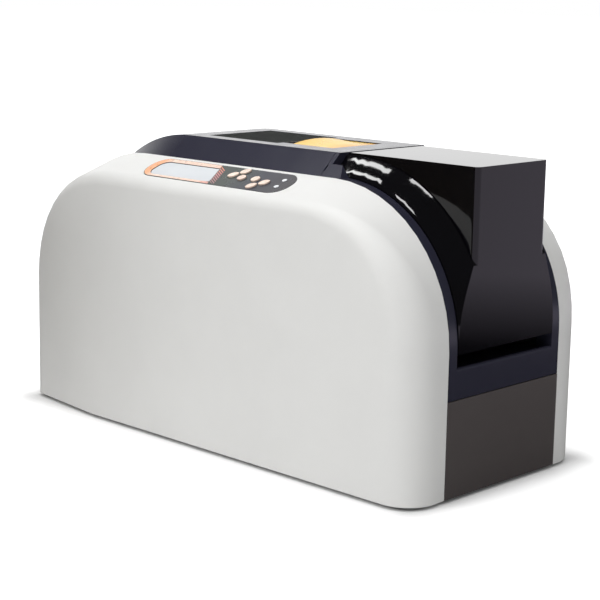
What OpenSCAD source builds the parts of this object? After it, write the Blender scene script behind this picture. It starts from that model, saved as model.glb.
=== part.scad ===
/* [Side shells] */
// Half the overall width, to the flat outer face of a side shell
half_w = 102; // [96:0.5:110]
// Half the width of the dark centre body between the side shells
parting_x = 64; // [60:0.5:68]
// Thickness of a side shell's wall
shell_wall = 3; // [2:0.25:4]
// Height of the shells' lower edge above the table
shell_base_z = 2.6; // [2:0.2:2.8]
// Radius of the arch at the parting edge of a side shell
arch_r = 110; // [104:0.5:114]
// Height of the centre of the arch
arch_z = 107.5; // [100:0.5:112]
// Distance of the front arch's centre in front of the origin
front_arch_y = 107.4; // [100:0.2:115]
// Distance of the shells' rear arch centre behind the origin
rear_arch_y = 102.8; // [100:0.1:112]
// Slope of the shell's band along the top, in degrees
top_slope = 22; // [14:1:28]
// Fillet between the top band and the flat side
top_fillet = 12; // [8:1:18]
// Crown of the band at the front, in degrees
front_crown = -5; // [-8:1:0]
// Fillet of the left shell's front corner
front_fillet = 25; // [16:1:30]
// Fillet of the right shell's front corner
right_front_fillet = 33; // [16:1:33]
// Turn of the facet at the shell's rear corner, in degrees
rear_facet = 9.7; // [6:0.1:12]
// How far the rear leans out at its foot
rear_lean = 5; // [0:0.5:8]

/* [Centre body] */
// Height of the flat top
top_z = 233.8; // [226:0.2:240]
// Half the width of the flat top, between the sloped shoulders
flat_half = 46.9; // [42:0.1:52]
// Distance of the centre body's rear arch centre behind the origin
dark_arch_y = 69; // [62:0.5:72]
// Wall of the covers and panels
wall = 2.5; // [2:0.1:3.5]
// Gap between two covers
gap = 0.3; // [0.2:0.05:0.6]
// Distance of the seam between top cover and front frame in front of the origin
seam_y = 92; // [84:0.5:96]
// Height of the seam above the lower front panel
front_seam_z = 73.2; // [60:0.5:80]
// Where the top cover ends, in degrees behind the top of the rear arch
cover_tail = 35; // [30:1:38]
// Where the rear panel starts, in degrees behind the top of the rear arch
panel_head = 41.4; // [40:0.2:44]

/* [Hopper] */
// Width of the tall block of the hood
block_w = 80.6; // [72:0.2:90]
// Depth of the tall block of the hood
block_l = 120.4; // [110:0.2:124]
// Radius of the block's upright edges
block_round = 4; // [2:0.5:6]
// Half the width of the hood over its shoulders
hood_half = 54.5; // [52:0.1:55]
// Radius of the hood's shoulder beside the block
shoulder_r = 125; // [120:0.5:126]
// Height of the hood's lower edge
hood_base_z = 105.2; // [100:0.2:110]
// Distance of the hood's hinge behind its rear edge, towards the front
hood_hinge_in = 8; // [7:0.5:10]
// Depth of the hood's hinge under the flat top
hood_hinge_down = 6.3; // [6:0.1:8]
// Length of a card
card_l = 85.6; // [80:0.1:90]
// Width of a card
card_w = 54; // [50:0.1:56]
// Height of the cassette's floor
cassette_z = 106.8; // [106.8:0.2:110]
// Height of the cassette's walls above its floor
cassette_h = 88; // [60:1:92]

/* [Transport] */
// Height of the card's underside on its way through
path_z = 97; // [96:0.2:98]
// Radius of the rubber rollers
roller_r = 6; // [5:0.2:6.4]
// Radius of the pinch rollers
pinch_r = 3.2; // [3:0.1:3.4]
// Radius of the pick roller under the cassette
pick_r = 4; // [3.8:0.1:4.2]
// Radius of the rollers' shafts
shaft_r = 2.5; // [2:0.1:3]
// Radius of the belt pulleys
pulley_r = 7; // [6:0.2:7.4]
// Thickness of the belts
belt_t = 1.2; // [0.8:0.1:1.6]
// Width of the belts
belt_w = 5; // [3:0.5:6]
// Radial clearance of a shaft in its bearing
running = 0.05; // [0.02:0.01:0.1]

/* [Hidden] */
$fn = 96;

front_y = -front_arch_y - arch_r - 0.5;
crown_r = top_z - arch_z;
slope_run = parting_x - flat_half;
slope_rise = crown_r - arch_r;
skin_x = parting_x - 0.2;
plate_x = 59;
plate_t = 1.5;
pan_t = 3;
pan_z = 6;
plate_r = arch_r - 6;
plate_front = front_arch_y + plate_r;
plate_rear = dark_arch_y + plate_r;
eps = 0.01;

// Rings of the side shell: the profile across its band at one station of the arch
top_shape = [top_slope, top_fillet, 0, 70];
tail_shape = [-2, 16, rear_facet, 69];
foot_shape = [-2, 12, rear_facet - 2.7, 19];
arch_steps = 12;
fillet_steps = 7;

function ease(t) = t * t * (3 - 2 * t);
function mix(a, b, t) = a + (b - a) * t;

// Each station holds its base point, its angle from upright and its profile
function stations(corner, z_low) = let (front_shape = [front_crown, corner, 0, 70]) concat(
    [[-front_arch_y, z_low, -90, front_shape]],
    [for (i = [0 : arch_steps]) let (t = i / arch_steps)
        [-front_arch_y, arch_z, -90 + 90 * t, mix(front_shape, top_shape, ease(t))]],
    [for (i = [0 : arch_steps]) let (t = i / arch_steps)
        [rear_arch_y, arch_z, 90 * t, mix(top_shape, tail_shape, ease(t))]],
    [[rear_arch_y + rear_lean, z_low, 90, foot_shape]]
);

// The profile's corner points, each as [x, radius], from the parting edge to the flat side
function profile(shape, x0, inset) =
    let (slope = shape[0], fillet = shape[1] - inset, turn = shape[2], reach = shape[3],
        side = half_w - inset, edge = arch_r - inset / cos(slope),
        n1 = [sin(slope), cos(slope)], n2 = [cos(turn), sin(turn)],
        c1 = [parting_x, edge] * n1 - fillet, c2 = [side, reach] * n2 - fillet,
        det = n1[0] * n2[1] - n1[1] * n2[0],
        centre = [(c1 * n2[1] - c2 * n1[1]) / det, (c2 * n1[0] - c1 * n2[0]) / det])
    concat([[x0, edge - (x0 - parting_x) * tan(slope)]],
        [for (i = [0 : fillet_steps]) let (a = mix(slope, 90 - turn, i / fillet_steps))
            centre + fillet * [sin(a), cos(a)]],
        [[side, reach - inset]]);

function ring_point(s, p) = [p[0], s[0] + p[1] * sin(s[2]), s[1] + p[1] * cos(s[2])];

module shell_form(corner, x0, inset, z_low) {
    st = stations(corner, z_low);
    rings = [for (s = st) profile(s[3], x0, inset)];
    n = len(st);
    m = len(rings[0]);
    points = [for (j = [0 : m - 1]) for (i = [0 : n - 1]) ring_point(st[i], rings[i][j])];
    sides = [for (j = [0 : m - 2]) for (i = [0 : n - 2]) each [
        [j * n + i, j * n + i + 1, (j + 1) * n + i + 1],
        [j * n + i, (j + 1) * n + i + 1, (j + 1) * n + i]]];
    foot = concat([for (j = [0 : m - 1]) j * n], [for (j = [m - 1 : -1 : 0]) j * n + n - 1]);
    caps = [[for (i = [n - 1 : -1 : 0]) i], [for (i = [0 : n - 1]) (m - 1) * n + i], foot];
    polyhedron(points, concat(sides, caps));
}

// A 2D profile given as [radius, x], swept along the dark body's arch
module front_bend() translate([0, -front_arch_y, arch_z]) rotate([0, 90, 0])
    rotate([0, 0, 180]) rotate_extrude(angle = 90) children();
module top_run(y0, y1) translate([0, y0, arch_z]) rotate([0, -90, -90])
    linear_extrude(y1 - y0) children();
module front_leg(z_low) translate([0, -front_arch_y, z_low]) rotate([0, 0, -90])
    linear_extrude(arch_z - z_low) children();
module rear_bend(a0, a1) translate([0, dark_arch_y, arch_z]) rotate([0, 90, 0])
    rotate([0, 0, 180 - a1]) rotate_extrude(angle = a1 - a0) children();
module rear_leg(z_low) translate([0, dark_arch_y, z_low]) mirror([0, 1, 0]) rotate([0, 0, -90])
    linear_extrude(arch_z - z_low) children();

module both_sides() {
    children();
    mirror([1, 0, 0]) children();
}

// The same for a profile, whose second coordinate is the place across the machine
module both_ways() {
    children();
    mirror([0, 1]) children();
}

module rod(x0, x1, y, z, r) translate([x0, y, z]) rotate([0, 90, 0]) cylinder(h = x1 - x0, r = r);
module slab(x0, x1, y0, y1, z0, z1) translate([x0, y0, z0]) cube([x1 - x0, y1 - y0, z1 - z0]);

// Cross-section of the dark body's roof: flat top, sloped shoulders and a side flange
module roof_outline(x_side, drop) polygon([[crown_r, 0], [crown_r, flat_half], [arch_r, parting_x],
    [arch_r, x_side], [drop, x_side], [drop, 0]]);
module roof_solid(drop) both_ways() intersection() {
    roof_outline(parting_x, drop);
    square([crown_r, skin_x]);
}
flange_drop = 10;
module roof_skin() difference() {
    roof_solid(arch_r - flange_drop);
    both_ways() polygon([[crown_r - wall, -1], [crown_r - wall, flat_half - 1],
        [arch_r - wall * 0.4, skin_x - wall], [0, skin_x - wall], [0, -1]]);
}

// The part of the side shell that hangs on screws from the chassis plate
boss_r = 4;
screw_r = 1.5;
boss_spots = [[-186, 30], [-140, 160], [70, 178], [135, 30]];
shell_open_r = 90;
flange_t = 2;

module side_shell(corner) {
    difference() {
        shell_form(corner, parting_x, 0, shell_base_z);
        shell_form(corner, parting_x + flange_t, shell_wall, shell_base_z - 1);
        intersection() {
            union() {
                rod(parting_x - 1, parting_x + 4, -front_arch_y, arch_z, shell_open_r);
                rod(parting_x - 1, parting_x + 4, rear_arch_y, arch_z, shell_open_r);
                slab(parting_x - 1, parting_x + 4, -front_arch_y, rear_arch_y, 0,
                    arch_z + shell_open_r);
                slab(parting_x - 1, parting_x + 4, -front_arch_y - shell_open_r,
                    rear_arch_y + shell_open_r, 0, arch_z);
            }
            slab(parting_x - 1, parting_x + 4, -300, dark_arch_y + arch_r - 8, 0, 300);
        }
    }
    difference() {
        for (p = boss_spots) rod(plate_x + plate_t, half_w - shell_wall + 0.5, p[0], p[1], boss_r);
        for (p = boss_spots) rod(plate_x, plate_x + 14, p[0], p[1], screw_r);
    }
}

// Local frame on the left shell's sloped band: x runs up the slope and z stands on it
module on_band() translate([-parting_x, 0, arch_z + arch_r]) rotate([0, -top_slope, 0]) children();

panel_x0 = -32.3;
panel_x1 = -3.2;
panel_y0 = -79.5;
panel_y1 = 77;
panel_r = 13.5;
panel_sink = 1.4;
bezel_t = 1.6;
module panel_plan(grow) rounded_plan(panel_x0 - grow, panel_x1 + grow,
    panel_y0 - grow, panel_y1 + grow, panel_r + grow);
module rounded_plan(x0, x1, y0, y1, r) {
    translate([x0 + r, y0]) square([x1 - x0 - 2 * r, y1 - y0]);
    translate([x0, y0 + r]) square([x1 - x0, y1 - y0 - 2 * r]);
    for (x = [x0 + r, x1 - r]) for (y = [y0 + r, y1 - r]) translate([x, y]) circle(r, $fn = 64);
}

module left_side_shell() color("white") difference() {
    mirror([1, 0, 0]) side_shell(front_fillet);
    on_band() translate([0, 0, -panel_sink]) linear_extrude(20) panel_plan(gap);
    on_band() translate([0, 0, -10]) linear_extrude(20)
        rounded_plan(panel_x0 + 1, panel_x1 - 1, panel_y0 + 1, panel_y1 - 1, panel_r - 1);
}

module right_side_shell() color("white") side_shell(right_front_fillet);

// Floor of the machine with wings under the side shells
pan_x = plate_x + plate_t;
wing_x = half_w - shell_wall - 4;
module base_pan() color("dimgray") {
    difference() {
        union() {
            slab(-pan_x, pan_x, front_y + wall + 1, plate_rear, pan_z - pan_t, pan_z);
            slab(-wing_x, wing_x, -front_arch_y - 60, rear_arch_y - 4, pan_z - pan_t, pan_z);
        }
        for (x = [-40 : 10 : 40]) slab(x - 2, x + 2, 60, 130, 0, 10);
        for (p = foot_spots) translate([p[0], p[1], 0]) cylinder(h = 10, r = foot_peg_r);
    }
    for (y = [-150, -90, 20, 80]) for (x = [-44, 40]) translate([x, y, pan_z - eps])
        cylinder(h = board_z - pan_z + eps, r = 3);
}

foot_r = 9;
foot_peg_r = 3;
foot_spots = [[-80, -150], [80, -150], [-80, 90], [80, 90]];
module rubber_feet() color("black") for (p = foot_spots) translate([p[0], p[1], 0]) {
    cylinder(h = pan_z - pan_t, r1 = foot_r - 1, r2 = foot_r);
    cylinder(h = pan_z + 1, r = foot_peg_r - 0.02);
}

// Rollers across the machine, each as [y, z]
lower_z = path_z - roller_r;
upper_z = path_z + 0.4 + pinch_r;
pick_at = [-124, cassette_z - pick_r + 0.9];
entry_at = [-84, lower_z];
platen_at = [-11, lower_z];
rear_at = [40, lower_z];
exit_at = [-150, lower_z];
lower_rollers = [pick_at, entry_at, platen_at, rear_at, exit_at];
entry_pinch_at = [-84.5, upper_z];
rear_pinch_at = [40, upper_z];
exit_pinch_at = [-150, upper_z];
upper_rollers = [entry_pinch_at, rear_pinch_at, exit_pinch_at];
bush_r = 5;
pinch_shaft_r = 2;
pinch_bush_r = 3;
spool_axis_z = 136;
supply_at = [-58, spool_axis_z];
takeup_at = [64, spool_axis_z];
spools = [supply_at, takeup_at];
stub_r = 3;
head_pivot = [20, 118];
head_shaft_r = 2.5;
rod_spots = [[-192, 60], [150, 70], [96, 190], [platen_at[0] + 0.6, 154]];
rod_r = 4;
motor_at = [-11, 46];
motor_size = 35;
pinion_teeth = 12;
spool_teeth = 36;
gear_mesh = (pinion_teeth + spool_teeth) / 2 + 0.3;
gear_line = 62;
ribbon_motor_at = [takeup_at[0] + gear_mesh * cos(gear_line), spool_axis_z + gear_mesh * sin(gear_line)];

module chassis_plate() difference() {
    union() {
        intersection() {
            union() {
                rod(plate_x, plate_x + plate_t, -front_arch_y, arch_z, plate_r);
                rod(plate_x, plate_x + plate_t, dark_arch_y, arch_z, plate_r);
                slab(plate_x, plate_x + plate_t, -front_arch_y, dark_arch_y, pan_z, arch_z + plate_r);
                slab(plate_x, plate_x + plate_t, -plate_front, plate_rear, pan_z, arch_z);
            }
            slab(plate_x - 1, plate_x + 3, -300, 300, pan_z, 300);
        }
        slab(plate_x - 10, plate_x + eps, -150, 120, pan_z, pan_z + plate_t);
    }
    for (p = lower_rollers) rod(50, 70, p[0], p[1], bush_r);
    for (p = upper_rollers) rod(50, 70, p[0], p[1], pinch_bush_r);
    for (p = spools) rod(50, 70, p[0], p[1], stub_r + running);
    rod(50, 70, head_pivot[0], head_pivot[1], head_shaft_r);
    for (p = rod_spots) rod(50, 70, p[0], p[1], 1.6);
    for (p = boss_spots) rod(50, 70, p[0], p[1], screw_r + 0.1);
    rod(50, 70, motor_at[0], motor_at[1], 6);
    rod(50, 70, ribbon_motor_at[0], ribbon_motor_at[1], 7);
}

module left_chassis_plate() color("silver") mirror([1, 0, 0]) chassis_plate();
module right_chassis_plate() color("silver") chassis_plate();

module tie_rods() color("gainsboro") for (p = rod_spots) {
    rod(-plate_x, plate_x, p[0], p[1], rod_r);
    rod(-plate_x - plate_t - 1.5, plate_x + plate_t + 1.5, p[0], p[1], 1.5);
}

module shell_screws() color("gainsboro") both_sides() for (p = boss_spots) {
    rod(plate_x - 1.8, plate_x, p[0], p[1], 3);
    rod(plate_x - eps, plate_x + 12, p[0], p[1], screw_r);
}

// Hood outline in plan, with rounded rear corners
hood_rear = front_y + block_l;
hood_corner = 8.5;
hood_hinge_y = hood_rear - hood_hinge_in;
hood_hinge_z = top_z - hood_hinge_down;
hood_pin_r = 1.5;
knuckle_r = 3.4;
bar_front = hood_rear + 1.5;
lug_x = [24, 30];
knuckle_x = [30.3, 36.4];
module hood_plan(grow) {
    r = hood_corner + grow;
    x = hood_half + grow;
    y = hood_rear + grow;
    translate([-x, -300]) square([2 * x, y - r + 300]);
    translate([-x + r, -300]) square([2 * x - 2 * r, y + 300]);
    for (s = [-1, 1]) translate([s * (x - r), y - r]) circle(r);
}

strip_in = 55;
cheek_t = 2;
strip_t = 3;
module strip_profile() {
    translate([arch_r - strip_t, strip_in]) square([strip_t, skin_x - strip_in]);
    translate([arch_r - 14, strip_in]) square([14, cheek_t]);
}
sill_z = 95.5;
sill_y = -front_arch_y - arch_r;
sill_edge_r = 2;
module front_frame() color("#2b2c31") {
    both_sides() {
        front_leg(front_seam_z) strip_profile();
        front_bend() strip_profile();
        top_run(-front_arch_y, -seam_y) strip_profile();
    }
    difference() {
        union() {
            top_run(bar_front, -seam_y) roof_solid(plate_r + 0.4);
            intersection() {
                top_run(-front_arch_y - 6, -seam_y) roof_solid(arch_r - 2);
                both_sides() translate([flat_half - 6, 0, 0]) rotate([90, 0, 90]) linear_extrude(30)
                    polygon([[-seam_y, 200], [-seam_y, top_z], [-front_arch_y + 7, top_z],
                        [-front_arch_y - 5, arch_z + arch_r], [-front_arch_y - 5, 200]]);
            }
        }
        translate([0, 0, 195]) linear_extrude(60) intersection() {
            hood_plan(0.45);
            translate([-80, -200]) square([160, 200 + bar_front]);
        }
        slab(-strip_in, strip_in, -200, bar_front, 195, 240);
        slab(-60, 60, bar_front + 3, -seam_y + 1, 195, arch_z + crown_r - wall - 6);
    }
    for (s = [0, 1]) mirror([s, 0, 0]) difference() {
        union() {
            slab(lug_x[0], lug_x[1], hood_hinge_y - knuckle_r, bar_front + 1, 212, 218);
            slab(lug_x[0], lug_x[1], hood_hinge_y - knuckle_r, hood_hinge_y + knuckle_r, 212, hood_hinge_z);
            rod(lug_x[0], lug_x[1], hood_hinge_y, hood_hinge_z, knuckle_r);
        }
        rod(lug_x[0] - 1, lug_x[1] + 1, hood_hinge_y, hood_hinge_z, hood_pin_r);
    }
    slab(-strip_in - 1, strip_in + 1, sill_y, sill_y + wall, front_seam_z, sill_z - sill_edge_r);
    rod(-strip_in - 1, strip_in + 1, sill_y + sill_edge_r, sill_z - sill_edge_r, sill_edge_r);
    slab(-strip_in + 1, strip_in - 1, sill_y + 1, -168, sill_z - 5, sill_z - 3);
    slab(-6, 6, bar_front + 3 - eps, ledge_y, 213.5, 216.5);
}

module lower_front_panel() color("#3a3837") difference() {
    slab(-skin_x, skin_x, front_y, -front_arch_y - 90, shell_base_z + 0.2, front_seam_z - 0.5);
    slab(-skin_x + wall, skin_x - wall, front_y + wall, 0, 0, front_seam_z);
}

// Rear panel follows the rear arch of the centre body
fan_at = [22, 76];
fan_r = 18;
fan_half = 20;
inlet_at = [-24, 30];
inlet_half = [14, 10];
switch_at = [4, 30];
switch_half = [8, 11.5];
usb_at = [30, 30];
usb_half = [6, 5.5];
rear_y = dark_arch_y + crown_r;
hinge_arm = crown_r - 4.8;
hinge_turn = 37.6;
hinge_y = dark_arch_y + hinge_arm * sin(hinge_turn);
hinge_z = arch_z + hinge_arm * cos(hinge_turn);
barrel_r = 4.8;
fixed_barrel_x = [15, 30];
outer_barrel_x = [30.3, 45.5];
centre_barrel_x = 14.7;
web_in = 0.6;
rod_pin_r = 2;

// A box centred on a place in the rear panel, between two depths measured from its face
module behind(p, half_x, half_z, y0, y1) slab(p[0] - half_x, p[0] + half_x, rear_y + y0, rear_y + y1,
    p[1] - half_z, p[1] + half_z);

module tilted_web(x0, x1, t0, t1, r0, r1) translate([0, dark_arch_y, arch_z]) rotate([-hinge_turn, 0, 0])
    slab(x0, x1, t0, t1, hinge_arm + r0, hinge_arm + r1);
module rear_panel() color("#2b2c31") {
    difference() {
        union() {
            rear_leg(pan_z) roof_skin();
            rear_bend(cover_tail + 0.7, 90) roof_skin();
        }
        rear_bend(cover_tail, panel_head) translate([arch_r - 30, -flat_half - 1])
            square([60, 2 * flat_half + 2]);
        for (a = [0 : 30 : 150]) translate([fan_at[0], rear_y - 10, fan_at[1]]) rotate([-90, 0, 0])
            rotate([0, 0, a]) for (s = [-1, 1]) translate([s * 10 - 5, -1.2, 0]) cube([10, 2.4, 20]);
        behind(inlet_at, inlet_half[0], inlet_half[1], -5, 1);
        behind(switch_at, switch_half[0], switch_half[1], -5, 1);
        behind(usb_at, usb_half[0], usb_half[1], -5, 1);
        for (z = [60 : 7 : 95]) slab(-36, -8, rear_y - 5, rear_y + 1, z, z + 3);
    }
    for (s = [0, 1]) mirror([s, 0, 0]) difference() {
        union() {
            rod(fixed_barrel_x[0], fixed_barrel_x[1], hinge_y, hinge_z, barrel_r);
            tilted_web(fixed_barrel_x[0] + web_in, fixed_barrel_x[1] - web_in, 1, 11, 1.6 - barrel_r, 3.2);
        }
        rod(fixed_barrel_x[0] - 1, fixed_barrel_x[1] + 1, hinge_y, hinge_z, rod_pin_r);
    }
}

module hinge_pins() color("gainsboro") {
    rod(-outer_barrel_x[1], outer_barrel_x[1], hinge_y, hinge_z, rod_pin_r);
    both_sides() rod(lug_x[0], knuckle_x[1], hood_hinge_y, hood_hinge_z, hood_pin_r);
}

// Top cover with its latch pocket and the recess for a finger behind the latch
latch_x = 28;
latch_y = [-69, -28];
latch_t = 4;
latch_sink = 0.8;
latch_top = top_z - latch_sink;
latch_axis = [latch_y[0] + 4, latch_top - 3];
latch_pin_r = 1.2;
latch_swing = 22;
latch_tilt = 4.6;
latch_dome_r = 131;
pocket_floor = top_z - 7;
scoop_r = top_z - pocket_floor;
scoop_y = latch_y[1] + 2;
rib_x = 34;
rib_y = [-18, 58.5];
rib_pitch = 4.8;
rib_w = 2.4;
rib_sink = 1.4;
module cover_barrel(x0, x1) {
    rod(x0, x1, hinge_y, hinge_z, barrel_r);
    tilted_web(x0 + web_in, x1 - web_in, -8, -1, 1.6 - barrel_r, crown_r - hinge_arm - 1);
}
module top_cover() color("#34353b") {
    difference() {
        union() {
            top_run(-seam_y + gap, dark_arch_y) roof_skin();
            rear_bend(0, cover_tail) roof_skin();
            slab(-latch_x - 3, latch_x + 3, latch_y[0] - 3, scoop_y + scoop_r + 2, pocket_floor - 3,
                top_z - wall / 2);
        }
        slab(-latch_x - gap, latch_x + gap, latch_y[0] - 1.3, scoop_y, pocket_floor, top_z + 1);
        rod(-latch_x - gap, latch_x + gap, scoop_y, top_z, scoop_r);
        slab(-rib_x - gap, rib_x + gap, rib_y[0] - gap, rib_y[1] + gap, top_z - rib_sink, top_z + 1);
        slab(-5, 5, latch_y[0] - 0.5, latch_y[0] + 16, pocket_floor - 10, pocket_floor + 1);
        rod(-latch_x - 1.5, latch_x + 1.5, latch_axis[0], latch_axis[1], latch_pin_r);
        rod(-50, 50, hinge_y, hinge_z, barrel_r + 0.4);
    }
    difference() {
        union() {
            both_sides() cover_barrel(outer_barrel_x[0], outer_barrel_x[1]);
            cover_barrel(-centre_barrel_x, centre_barrel_x);
        }
        rod(-60, 60, hinge_y, hinge_z, rod_pin_r + running);
    }
}

module ribbed_panel() color("#3c4140") {
    slab(-rib_x, rib_x, rib_y[0], rib_y[1], top_z - rib_sink, top_z - 0.9);
    for (x = [-rib_x + 2 : rib_pitch : rib_x - 1]) slab(x, x + rib_w, rib_y[0] + 1, rib_y[1] - 1,
        top_z - 0.9 - eps, top_z - 0.1);
}

// The pad's crowned top rises from its hinged front edge to its free rear edge
module latch_crown() intersection() {
    slab(-latch_x, latch_x, latch_y[0], latch_y[1], latch_top - latch_t, top_z + 10);
    translate([0, latch_y[0], latch_top]) rotate([latch_tilt, 0, 0])
        translate([0, -20, -latch_dome_r]) rotate([-90, 0, 0]) cylinder(h = 80, r = latch_dome_r, $fn = 360);
}

// The hook is a sloped arm that snaps against the ledge behind the frame's cross bar
ledge_y = -seam_y + 3;
hook_tip = ledge_y + gap;
module latch_pad() color("orange") difference() {
    union() {
        difference() {
            union() {
                slab(-latch_x, latch_x, latch_y[0], latch_y[1], latch_top - latch_t, latch_top);
                latch_crown();
            }
            rod(-latch_x - 1, latch_x + 1, latch_axis[0], latch_axis[1], latch_pin_r + running);
            slab(6, 12, latch_y[0] - 1, latch_y[0] + 8, top_z - 10, latch_top - 1);
        }
        translate([-4, 0, 0]) rotate([90, 0, 90]) linear_extrude(8) polygon([
            [latch_axis[0] + 3, latch_axis[1] - 0.5], [latch_axis[0] + 9, latch_axis[1] - 0.5],
            [latch_axis[0] + 9, latch_axis[1] - 6], [latch_axis[0] - 14, latch_axis[1] - 17.5],
            [hook_tip, latch_axis[1] - 17.5], [hook_tip, latch_axis[1] - 13],
            [latch_axis[0] - 15, latch_axis[1] - 12], [latch_axis[0] + 3, latch_axis[1] - 5]]);
    }
    rod(-5, 5, latch_axis[0], latch_axis[1], latch_pin_r + running);
}

module latch_pin() color("gainsboro")
    rod(-latch_x - 1.5, latch_x + 1.5, latch_axis[0], latch_axis[1], latch_pin_r);

module latch_spring() color("gainsboro") difference() {
    rod(6.5, 11.5, latch_axis[0], latch_axis[1], 2);
    rod(6, 12, latch_axis[0], latch_axis[1], latch_pin_r + 0.15);
}

// Hood: a tall block over sloped shoulders, open below and behind
module shoulder_profile(inset) both_ways() polygon([[0, 0], [shoulder_r - inset * 1.4, 0],
    [shoulder_r - inset * 1.4, block_w / 2 - inset + 1],
    [shoulder_r - 4 - inset, block_w / 2 + 4.4 - inset],
    [arch_r + 3.4 - inset, hood_half - 2 - inset], [arch_r + 0.8 - inset, hood_half - inset],
    [0, hood_half - inset]]);
module hood_form(inset) {
    y0 = front_y + inset;
    x = block_w / 2 - inset;
    r = block_round;
    translate([0, 0, hood_base_z - inset]) linear_extrude(top_z - hood_base_z) {
        translate([-x + r, y0]) square([2 * x - 2 * r, block_l]);
        translate([-x, y0 + r]) square([2 * x, block_l - r]);
        for (s = [-1, 1]) translate([s * (x - r), y0 + r]) circle(r);
    }
    intersection() {
        union() {
            front_leg(hood_base_z - inset) shoulder_profile(inset);
            front_bend() shoulder_profile(inset);
            top_run(-front_arch_y, hood_rear + inset) shoulder_profile(inset);
        }
        slab(-hood_half, hood_half, y0, hood_rear + inset, hood_base_z - inset, top_z);
    }
}
skirt_drop = 10;
module hopper_hood() color("#15151a") {
    difference() {
        hood_form(0);
        hood_form(wall);
        slab(-90, 90, hood_rear, hood_rear + 20, 0, 300);
        slab(-90, 90, -front_arch_y - 1, 0, 0, arch_z + 4);
        both_sides() {
            rod(block_w / 2 + 6, 90, -front_arch_y, arch_z, arch_r - skirt_drop);
            slab(block_w / 2 + 6, 90, -front_arch_y, 0, 0, arch_z + arch_r - skirt_drop);
        }
        difference() {
            slab(-90, 90, hood_rear - 30, hood_rear + 1, 100, 300);
            linear_extrude(400) hood_plan(0);
        }
        difference() {
            slab(-90, 90, hood_rear - 3, hood_rear + 1, top_z - 3, 300);
            rod(-91, 91, hood_rear - 3, top_z - 3, 3);
            slab(-91, 91, hood_rear - 4, hood_rear - 3, 0, 300);
        }
    }
    both_sides() difference() {
        union() {
            rod(knuckle_x[0], knuckle_x[1], hood_hinge_y, hood_hinge_z, knuckle_r);
            slab(knuckle_x[0], knuckle_x[1], hood_hinge_y - knuckle_r, hood_hinge_y + knuckle_r,
                hood_hinge_z, top_z - 1);
        }
        rod(knuckle_x[0] - 1, knuckle_x[1] + 1, hood_hinge_y, hood_hinge_z, hood_pin_r + running);
    }
}

// Cassette for the cards, carried by the chassis plates
play = 0.6;
floor_t = 2;
case_front = front_y + 12;
case_in = [card_w / 2 + play, case_front + wall, case_front + wall + card_l + 2 * play];
module card_cassette() color("#303238") difference() {
    union() {
        slab(-case_in[0] - wall, case_in[0] + wall, case_front, case_in[2] + wall, cassette_z - floor_t,
            cassette_z + cassette_h);
        slab(-plate_x, plate_x, case_front + 16, pick_at[0] - bush_r - 2, cassette_z - floor_t, cassette_z);
        translate([-case_in[0] + 1, 0, 0]) rotate([90, 0, 90]) linear_extrude(2 * case_in[0] - 2) polygon([
            [case_in[2] + wall - eps, cassette_z + 1.4], [case_in[2] + wall - eps, cassette_z + 5],
            [entry_pinch_at[0] - 5, path_z + 7], [entry_pinch_at[0] - 5, path_z + 5.4]]);
    }
    slab(-case_in[0], case_in[0], case_in[1], case_in[2], cassette_z, cassette_z + cassette_h + 1);
    slab(-12, 12, pick_at[0] - 5, pick_at[0] + 5, cassette_z - 5, cassette_z + 1);
    slab(-plate_x, plate_x, pick_at[0] - shaft_r - 0.4, pick_at[0] + shaft_r + 0.4, cassette_z - 5,
        cassette_z + 0.5);
    slab(-case_in[0], case_in[0], case_in[2] - 1, case_in[2] + wall + 1, cassette_z, cassette_z + 1.2);
    slab(-12, 12, case_front - 1, case_in[1] + 1, cassette_z + 20, cassette_z + cassette_h + 1);
}

weight_h = 8;
module card_weight() color("gray") {
    slab(-card_w / 2 + 1, card_w / 2 - 1, case_in[1] + 1.5, case_in[2] - 1.5, cassette_z + 1.3,
        cassette_z + 1.3 + weight_h);
    translate([0, (case_in[1] + case_in[2]) / 2, cassette_z + weight_h]) cylinder(h = 12, r = 7);
}

// Control panel parts lie in the sunk field of the left shell's band
window_y = [-6, 69];
window_x = [-29, -8.5];
window_r = 8;
key_stand = 0.9;
leaf_spots = [[-8.3, -23], [-15.2, -16.2], [-19.9, -53.8], [-26.7, -46.4]];
round_spots = [[-17.6, -27.6], [-16.9, -41.7]];
leaf_turn = -44;
leaf_long = 9.2;
leaf_wide = 6.6;
round_key_r = 3.6;
module leaf(grow) {
    arc = (leaf_long * leaf_long + leaf_wide * leaf_wide) / (4 * leaf_wide);
    intersection() {
        translate([0, leaf_wide / 2 - arc]) circle(arc + grow, $fn = 64);
        translate([0, arc - leaf_wide / 2]) circle(arc + grow, $fn = 64);
    }
}
module leaf_plan(i, grow) translate(leaf_spots[i]) rotate(leaf_turn) leaf(grow);
module round_plan(i, grow) translate(round_spots[i]) circle(round_key_r + grow, $fn = 48);
module window_plan(inset) difference() {
    rounded_plan(window_x[0] + inset, window_x[1] - inset, window_y[0] + inset, window_y[1] - inset,
        window_r - inset);
    translate([window_x[1], 5.5 + inset]) rotate(22) translate([-60, -40]) square([80, 40]);
}
light_spots = [[-12.6, -68], [-22.5, -68.7]];
light_r = 1.9;
module panel_bezel() color("#2c2d33") on_band() difference() {
    translate([0, 0, -panel_sink]) linear_extrude(bezel_t) panel_plan(0);
    translate([0, 0, -panel_sink - 1]) linear_extrude(5) {
        window_plan(0);
        for (i = [0 : 3]) leaf_plan(i, gap);
        for (i = [0 : 1]) round_plan(i, gap);
        for (p = light_spots) translate(p) circle(light_r + 0.05, $fn = 32);
    }
}
module lcd_window() color("lightgray") on_band() translate([0, 0, -panel_sink])
    linear_extrude(bezel_t - 0.4) window_plan(0.1);
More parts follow.
